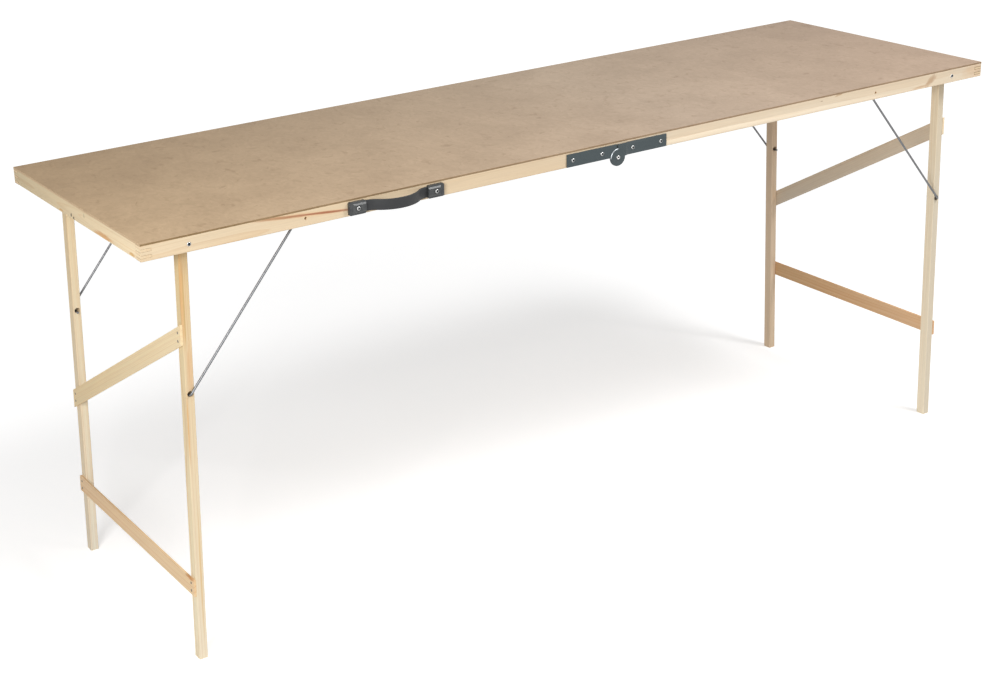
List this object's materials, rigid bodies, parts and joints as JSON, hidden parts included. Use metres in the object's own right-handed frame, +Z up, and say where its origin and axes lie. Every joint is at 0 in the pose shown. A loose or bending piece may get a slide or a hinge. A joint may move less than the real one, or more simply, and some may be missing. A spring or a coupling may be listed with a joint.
{
  "type": "folding trestle table",
  "caption": "Long narrow folding trestle table: hinged finger-jointed pine trays with hardboard tops, slatted folding leg frames, wire stays and a carrying handle.",
  "frame": {"origin": "on the floor, under the middle of the opened table's bounding box", "axes": "+X along the table's length towards the half without the handle, +Y across its width away from the handle, +Z up"},
  "size_m": [1.78, 0.5608, 0.74],
  "materials": {
    "pine_rail": "planed bare pine",
    "pine_leg": "planed bare pine",
    "hardboard": "smooth brown hardboard",
    "hinge_steel": "dark grey enamel",
    "fastener_steel": "zinc plated",
    "stay_wire": "drawn wire",
    "strap_plastic": "satin black",
    "cap_plastic": "glossy dark grey"
  },
  "bodies": {
    "left_half": {"left_front_rail": "pine_rail", "left_back_rail": "pine_rail", "left_end_rail": "pine_rail", "left_centre_rail": "pine_rail", "left_top_panel": "hardboard", "left_front_leg_pin": "fastener_steel", "left_back_leg_pin": "fastener_steel", "left_front_leg_spacer": "fastener_steel", "left_back_leg_spacer": "fastener_steel", "front_hinge_left_plate": "hinge_steel", "back_hinge_left_plate": "hinge_steel", "front_hinge_rivet": "fastener_steel", "back_hinge_rivet": "fastener_steel", "left_hinge_screws": "fastener_steel", "handle_strap": "strap_plastic", "handle_left_cap": "cap_plastic", "handle_right_cap": "cap_plastic", "handle_screws": "fastener_steel"},
    "right_half": {"right_front_rail": "pine_rail", "right_back_rail": "pine_rail", "right_end_rail": "pine_rail", "right_centre_rail": "pine_rail", "right_top_panel": "hardboard", "right_front_leg_pin": "fastener_steel", "right_back_leg_pin": "fastener_steel", "right_front_leg_spacer": "fastener_steel", "right_back_leg_spacer": "fastener_steel", "front_hinge_right_plate": "hinge_steel", "back_hinge_right_plate": "hinge_steel", "right_hinge_screws": "fastener_steel"},
    "left_leg_frame": {"left_front_leg": "pine_leg", "left_back_leg": "pine_leg", "left_diagonal_brace": "pine_leg", "left_stretcher": "pine_leg", "left_frame_nails": "fastener_steel"},
    "left_front_stay_body": {"left_front_stay": "stay_wire"},
    "left_back_stay_body": {"left_back_stay": "stay_wire"},
    "right_leg_frame": {"right_front_leg": "pine_leg", "right_back_leg": "pine_leg", "right_diagonal_brace": "pine_leg", "right_stretcher": "pine_leg", "right_frame_nails": "fastener_steel"},
    "right_front_stay_body": {"right_front_stay": "stay_wire"},
    "right_back_stay_body": {"right_back_stay": "stay_wire"}
  },
  "joints": [
    {"name": "table_fold", "type": "hinge", "parent": "left_half", "child": "right_half", "pos_m": [0, 0.00962, 0.712], "axis": [0, 1, 0], "range_deg": [0, 95]},
    {"name": "left_leg_fold", "type": "hinge", "parent": "left_half", "child": "left_leg_frame", "pos_m": [-0.8105, 0.00962, 0.7245], "axis": [0, -1, 0], "range_deg": [0, 92]},
    {"name": "left_front_stay_turn", "type": "hinge", "parent": "left_leg_frame", "child": "left_front_stay_body", "pos_m": [-0.82083, 0.00962, 0.47081], "axis": [0, 1, 0], "range_deg": [0, 142.3]},
    {"name": "left_back_stay_turn", "type": "hinge", "parent": "left_leg_frame", "child": "left_back_stay_body", "pos_m": [-0.82083, 0.00962, 0.47081], "axis": [0, 1, 0], "range_deg": [0, 142.3]},
    {"name": "right_leg_fold", "type": "hinge", "parent": "right_half", "child": "right_leg_frame", "pos_m": [0.8105, 0.00962, 0.7245], "axis": [0, 1, 0], "range_deg": [0, 92]},
    {"name": "right_front_stay_turn", "type": "hinge", "parent": "right_leg_frame", "child": "right_front_stay_body", "pos_m": [0.82083, 0.00962, 0.47081], "axis": [0, -1, 0], "range_deg": [0, 142.3]},
    {"name": "right_back_stay_turn", "type": "hinge", "parent": "right_leg_frame", "child": "right_back_stay_body", "pos_m": [0.82083, 0.00962, 0.47081], "axis": [0, -1, 0], "range_deg": [0, 142.3]}
  ],
  "couplings": [
    {"joint": "left_front_stay_turn", "follows": "left_leg_fold", "ratio": 1.5457},
    {"joint": "left_back_stay_turn", "follows": "left_leg_fold", "ratio": 1.5457},
    {"joint": "right_front_stay_turn", "follows": "right_leg_fold", "ratio": 1.5457},
    {"joint": "right_back_stay_turn", "follows": "right_leg_fold", "ratio": 1.5457}
  ]
}
